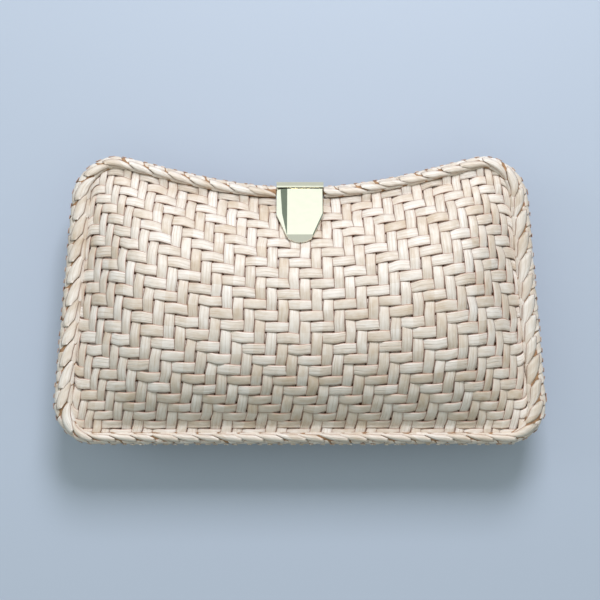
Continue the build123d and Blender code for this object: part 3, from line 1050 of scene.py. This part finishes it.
@dataclass(frozen=True)
class PolishedMetal:
    """Polished or satin metal with faint handling marks."""

    name: str
    colour: Colour = (0.94, 0.91, 0.79)
    rough: float = 0.035
    ripple: float = 0.05  # depth of the dents of wear, in millimetres

    def build(self) -> bpy.types.Material:
        """Makes the material.

        Returns:
            The metal, a little duller where it has been handled.
        """
        shader = Shader(self.name)
        spot = shader.node("ShaderNodeTexCoord", out="Object")
        noise = shader.node("ShaderNodeTexNoise", None, Vector=spot, Scale=250.0, Detail=3.0)
        smudge = noise.between(0.35, 0.75)
        tone = shader.blend(smudge * 0.12, self.colour, darkened(self.colour, 0.8))
        shader.set(Base_Color=tone, Metallic=1.0, Roughness=smudge * 0.03 + self.rough)
        ripple = shader.node("ShaderNodeTexNoise", None, Vector=spot, Scale=420.0, Detail=2.0)
        shader.bump(ripple, 0.5, self.ripple)
        return shader.material


@dataclass(frozen=True)
class LiningCloth:
    """Plain woven cotton."""

    name: str
    colour: Colour = (0.66, 0.56, 0.42)
    threads: float = 700.0  # the scale of the weave, in metres
    relief: float = 0.1  # in millimetres

    def build(self) -> bpy.types.Material:
        """Makes the material.

        Returns:
            The cloth.
        """
        shader = Shader(self.name)
        spot = shader.node("ShaderNodeTexCoord", out="Object")
        warp, weft = (
            shader.node(
                "ShaderNodeTexWave", {"bands_direction": way}, Vector=spot, Scale=self.threads,
                Distortion=1.5,
            )
            for way in "XY"
        )
        thread = warp * 0.5 + weft * 0.5
        tone = shader.ramp(thread, [(0.0, darkened(self.colour, 0.8)), (1.0, self.colour)])
        shader.set(Base_Color=tone, Roughness=0.9)
        shader.bump(thread, 0.5, self.relief)
        return shader.material


LEAF_ROWS = (
    LeafRow(
        "under_slips", length=12.5, half_width=1.9, middle=-4.0, lean=0.8, puff=0.3, tail_lift=0.3,
        base=-0.4,
    ),
    LeafRow(
        "outer_slips", length=5.3, half_width=3.7, middle=5.6, lean=-1.2, puff=0.4, tail_lift=-0.3,
        shear=1.6, per_pitch=2, bluntness=7.0, base=-0.3,
    ),
    LeafRow(
        "tips", length=2.4, half_width=1.2, middle=8.0, lean=0.0, puff=0.1, tail_lift=0.1,
        per_pitch=2, offset=0.2, bluntness=4.0, base=0.55, uneven=2.0,
    ),
    LeafRow(
        "leaves", length=15.2, half_width=3.5, middle=-0.6, lean=3.4, puff=0.75, tail_lift=0.6,
        shear=2.8, bluntness=2.6, uneven=0.8,
    ),
)


@dataclass(frozen=True)
class Lamp:
    """A square area lamp, in metres and watts."""

    name: str
    place: tuple[float, float, float]
    size: float
    power: float
    colour: Colour
    aim: tuple[float, float, float] = (0.0, 0.0, 0.03)

    def hang(self) -> None:
        """Adds the lamp to the scene, facing its aim."""
        data = bpy.data.lights.new(self.name, "AREA")
        data.shape = "SQUARE"
        data.size = self.size
        data.energy = self.power
        data.color = self.colour
        lamp = bpy.data.objects.new(self.name, data)
        lamp.location = self.place
        lamp.rotation_euler = (Vector(self.aim) - Vector(self.place)).to_track_quat("-Z", "Y").to_euler()
        bpy.context.scene.collection.objects.link(lamp)


LAMPS = (
    Lamp("window", (0.14, 0.94, 0.97), 0.5, 15.0, (0.97, 0.955, 1.0)),
    Lamp("side_window", (-1.3, 0.35, 0.9), 0.6, 2.5, (0.93, 0.98, 1.0)),
    # The panes that the tab mirrors
    Lamp("right_pane", (0.079, 1.291, 0.536), 0.4, 0.42, (1.0, 1.04, 1.0)),
    Lamp("left_pane", (-0.632, 1.188, 0.386), 0.5, 0.68, (1.0, 1.04, 1.02)),
)


@dataclass
class Studio:
    """The floor, the room and the camera, in metres."""

    floor_size: float = 4.0
    floor_colour: Colour = (0.445, 0.51, 0.62)
    low_room: tuple[float, Colour] = (0.25, (0.12, 0.172, 0.14))
    high_room: tuple[float, Colour] = (0.85, (0.60, 0.64, 0.61))
    view_width: float = 0.308  # of the picture, at the height of the rims
    rim_height: float = 0.034
    camera_height: float = 0.80
    sensor: float = 36.0

    def floor(self) -> None:
        """Lays the plain pale floor."""
        bm = bmesh.new()
        bmesh.ops.create_grid(bm, x_segments=1, y_segments=1, size=self.floor_size / 2)
        mesh = bpy.data.meshes.new("floor")
        bm.to_mesh(mesh)
        bm.free()
        floor = bpy.data.objects.new("floor", mesh)
        bpy.context.scene.collection.objects.link(floor)
        shader = Shader("pale_floor")
        shader.set(Base_Color=self.floor_colour, Roughness=0.5)
        mesh.materials.append(shader.material)

    def room(self) -> None:
        """Surrounds the bag with a plain room, whose walls are darker than its ceiling."""
        world = bpy.data.worlds.new("room")
        world.use_nodes = True
        tree = world.node_tree
        spot = tree.nodes.new("ShaderNodeTexCoord")
        split = tree.nodes.new("ShaderNodeSeparateXYZ")
        ramp = tree.nodes.new("ShaderNodeValToRGB")
        for element, (height, colour) in zip(ramp.color_ramp.elements, (self.low_room, self.high_room)):
            element.position = height
            element.color = (*colour, 1.0)
        tree.links.new(spot.outputs["Generated"], split.inputs[0])
        tree.links.new(split.outputs["Z"], ramp.inputs[0])
        tree.links.new(ramp.outputs[0], tree.nodes["Background"].inputs["Color"])
        bpy.context.scene.world = world

    def camera(self) -> None:
        """Hangs the camera straight over the bag."""
        data = bpy.data.cameras.new("camera")
        data.sensor_width = self.sensor
        data.lens = self.sensor * (self.camera_height - self.rim_height) / self.view_width
        camera = bpy.data.objects.new("camera", data)
        camera.location = (0.0, 0.0, self.camera_height)
        bpy.context.scene.collection.objects.link(camera)
        bpy.context.scene.camera = camera


@dataclass
class ClaspTab:
    """The lift tab, a plate cut in facets.

    It is worked flat: x along the tab from its upper edge, y across it, z up.  Then it is laid
    on its slope.
    """

    slope: float = math.radians(32.0)
    start: float = 2.4  # from the pin
    length: float = 32.3
    thick: float = 1.7
    knee: float = 15.4  # where it begins to narrow
    lip_start: float = 28.4
    lip_half: float = 7.0
    end_half: float = 5.2
    end_inset: float = 1.0  # of the sides' last corners from the end
    end_arc: int = 6
    end_sweep: float = 50.0  # of the rounded end to each side, in degrees
    end_deep: float = 3.2
    end_broad: float = 5.6
    end_turn: float = 0.57
    ridge_y: float = -6.5  # where the main facet has the full thickness
    main_tilt: float = -0.105
    band_edge: tuple[tuple[float, float], ...] = ((-10.0, 0.48), (-9.1, 0.57), (-6.7, 0.83))
    band_side: tuple[tuple[float, float], ...] = ((-12.0, -0.26), (-7.05, 0.73))
    bevel_y: float = 11.5
    bevel_slope: float = 0.9
    lip_slope: float = 0.36
    softened: float = 0.1

    def sides(self) -> list[Cut]:
        """The cuts that narrow the plate.

        Returns:
            Each as a point on it and its outward direction.
        """
        corners = (
            (self.knee, CLASP_HALF_WIDTH),
            (self.lip_start, self.lip_half),
            (self.length - self.end_inset, self.end_half),
        )
        cuts = []
        for side in (-1, 1):
            for (x, y), (next_x, next_y) in zip(corners, corners[1:]):
                run = Vector((next_x - x, side * (next_y - y), 0))
                cuts.append((Vector((x, side * y, 0)), Vector((-run.y, run.x, 0)) * side))
        return cuts

    def end(self) -> list[Cut]:
        """The cuts that round its end.

        Returns:
            Each as a point on it and its outward direction.
        """
        cuts = []
        for k in range(self.end_arc):
            turn = math.radians(-self.end_sweep + 2 * self.end_sweep * (k + 0.5) / self.end_arc)
            x = self.length - self.end_deep + self.end_deep * math.cos(turn)
            outward = Vector((math.cos(turn), math.sin(turn) * self.end_turn, 0))
            cuts.append((Vector((x, self.end_broad * math.sin(turn), 0)), outward))
        return cuts

    def face(self) -> list[Cut]:
        """The facets of its upper face.

        Returns:
            The main one, the dark band's two, the bright bevel's two and the lip's.
        """
        top = self.thick / 2
        run = Vector((self.lip_start - self.knee, self.lip_half - CLASP_HALF_WIDTH, 0)).normalized()
        start, knee, lip = (
            (x, *edge) for x, edge in zip((0, self.knee, self.lip_start), self.band_edge)
        )
        return [
            (Vector((0, self.ridge_y, top)), Vector((0, self.main_tilt, 1))),
            self.through(start, knee, (self.knee, *self.band_side[0])),
            self.through(knee, lip, (self.lip_start, *self.band_side[1])),
            (Vector((0, self.bevel_y, top)), Vector((0, 1, self.bevel_slope))),
            (Vector((self.knee, self.bevel_y, top)), Vector((-run.y, run.x, self.bevel_slope))),
            (Vector((self.lip_start, 0, top)), Vector((self.lip_slope, 0, 1))),
        ]

    @staticmethod
    def through(*spots: tuple[float, float, float]) -> Cut:
        """The cut through three places.

        Args:
            spots: The places.

        Returns:
            The first of them and the upward direction.
        """
        first, second, third = (Vector(spot) for spot in spots)
        normal = (second - first).cross(third - first)
        return first, normal if normal.z > 0 else -normal

    def build(self) -> bpy.types.Object:
        """Makes the piece, before its finish.

        Returns:
            The tab's plate.
        """
        bm = bmesh.new()
        bmesh.ops.create_cube(bm, size=1.0)
        size = Vector((self.length, 2 * CLASP_HALF_WIDTH, self.thick))
        bmesh.ops.scale(bm, verts=bm.verts, vec=size)
        bmesh.ops.translate(bm, verts=bm.verts, vec=Vector((self.length / 2, 0, 0)))
        for spot, outward in self.sides() + self.end() + self.face():
            cut = bmesh.ops.bisect_plane(
                bm, geom=whole(bm), dist=1e-5, plane_co=spot, plane_no=outward.normalized(),
                clear_outer=True,
            )
            edges = [part for part in cut["geom_cut"] if isinstance(part, bmesh.types.BMEdge)]
            if edges:
                bmesh.ops.edgenet_fill(bm, edges=edges)
        # The lip's crease stays sharp
        soft = [
            edge for edge in bm.edges
            if max(abs(vert.co.x - self.lip_start) for vert in edge.verts) > 0.3
        ]
        bmesh.ops.bevel(
            bm, geom=soft, offset=self.softened, affect="EDGES", segments=2, profile=0.5, material=-1
        )
        bmesh.ops.recalc_face_normals(bm, faces=bm.faces)
        flat = np.array([vert.co[:] for vert in bm.verts])
        along, across, high = flat[:, 0] + self.start, flat[:, 1], flat[:, 2]
        y = PIN_Y - along * math.cos(self.slope) + high * math.sin(self.slope)
        z = PIN_Z + along * math.sin(self.slope) + high * math.cos(self.slope)
        points = np.stack([across, y, z], axis=1)
        piece = finish_mesh("tab_plate", bm, points, flat[:, :2])
        face_flat(piece)
        return piece


@dataclass
class HingeHood:
    """The sheet over the clasp's knuckles, which turns with the tab.

    Its bends are given as y and z from the pin.
    """

    thickness: float = 0.08
    bends: tuple[tuple[float, float], ...] = (
        (1.88, 1.3), (1.86, 1.72), (1.7, 1.93), (-0.14, 1.93), (-0.66, 2.24),
    )

    def build(self) -> bpy.types.Object:
        """Makes the piece, before its finish.

        Returns:
            The hood.
        """
        bm, places = grid_sheets(1, 1, len(self.bends) - 1)
        bend = (1 - places[:, 1]) / 2 * (len(self.bends) - 1)
        y, z = (np.interp(bend, np.arange(len(self.bends)), part) for part in zip(*self.bends))
        points = np.stack([places[:, 0] * CLASP_HALF_WIDTH, PIN_Y + y, PIN_Z + z], axis=1)
        piece = finish_mesh("clasp_hood", bm, points, places[:, :2])
        face_flat(piece)
        thicken(piece, self.thickness)
        return piece


@dataclass
class ClutchBag:
    """The whole bag, dressed."""

    frame: dict
    form: BagForm = field(default_factory=BagForm)

    def __post_init__(self) -> None:
        """Makes the finishes."""
        self.straw = Straw("woven_straw").build()
        self.leaf_straw = Straw("plaited_straw").build()
        # Painted shade for the gaps in the weave and between the rim's strips
        self.shade = Shade("straw_shade").build()
        # The rim core's brown is painted shade for the wedges between the leaves
        self.rim_shade = Shade("rim_shade", (0.44, 0.25, 0.13)).build()
        self.gold = PolishedMetal("pale_gold").build()
        self.brass = PolishedMetal("frame_brass", (0.80, 0.66, 0.38), 0.25).build()
        self.steel = PolishedMetal("pin_steel", (0.62, 0.61, 0.58), 0.3).build()
        self.cloth = LiningCloth("lining_cloth").build()

    def dress(self, piece: bpy.types.Object, finish: bpy.types.Material, body: str) -> None:
        """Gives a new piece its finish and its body.

        Args:
            piece: The piece.
            finish: Its material.
            body: The moving body that carries it.
        """
        piece.data.materials.append(finish)
        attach(piece, body)
        LOG.info("%s: %d faces", piece.name, len(piece.data.polygons))

    def walls(self, half: Half) -> None:
        """Weaves one half's wall.

        Args:
            half: Which half.
        """
        weave = Weave(self.form, half)
        backing = weave.backing()
        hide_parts(f"{half.value}_shell")
        self.dress(backing, self.shade, half.value)
        for way in Way:
            self.dress(weave.strips(way), self.straw, half.value)

    def rims(self, half: Half) -> None:
        """Plaits one half's rim.

        Args:
            half: Which half.
        """
        rim = PlaitedRim(self.form, half)
        core = rim.core()
        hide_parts(f"{half.value}_rim")
        self.dress(core, self.rim_shade, half.value)
        for piece in (rim.mouth(), *map(rim.row, LEAF_ROWS)):
            self.dress(piece, self.leaf_straw, half.value)

    def lining(self, half: Half) -> None:
        """Lines one half.

        Args:
            half: Which half.
        """
        tray = LiningTray(self.form, half).build()
        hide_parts(f"{half.value}_lining")
        self.dress(tray, self.cloth, half.value)

    def tab(self) -> None:
        """Cuts the clasp's tab, and bends the hood over its hinge."""
        plate = ClaspTab().build()
        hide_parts("clasp_tab")
        self.dress(plate, self.gold, "clasp")
        self.dress(HingeHood().build(), self.gold, "clasp")

    def metal(self) -> None:
        """Finishes the nodes that are shown as they are."""
        replaced = ("_shell", "_rim", "_tab", "_lining")
        for name, node in self.frame["nodes"].items():
            if name.endswith(replaced):
                continue
            if name.startswith("clasp_"):
                finish = self.gold
            elif name.startswith(("hinge_pin", "catch_magnet")):
                finish = self.steel
            else:
                finish = self.brass
            node.data.materials.clear()
            node.data.materials.append(finish)


def main() -> None:
    """Builds the bag and its studio."""
    logging.basicConfig(level=logging.INFO, format="%(name)s: %(message)s")
    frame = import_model()
    bpy.context.scene.view_settings.view_transform = "Standard"
    studio = Studio()
    studio.camera()
    for lamp in LAMPS:
        lamp.hang()
    studio.room()
    studio.floor()
    bag = ClutchBag(frame)
    for half in Half:
        bag.walls(half)
        bag.rims(half)
        bag.lining(half)
    bag.tab()
    bag.metal()


if __name__ == "__main__":
    main()
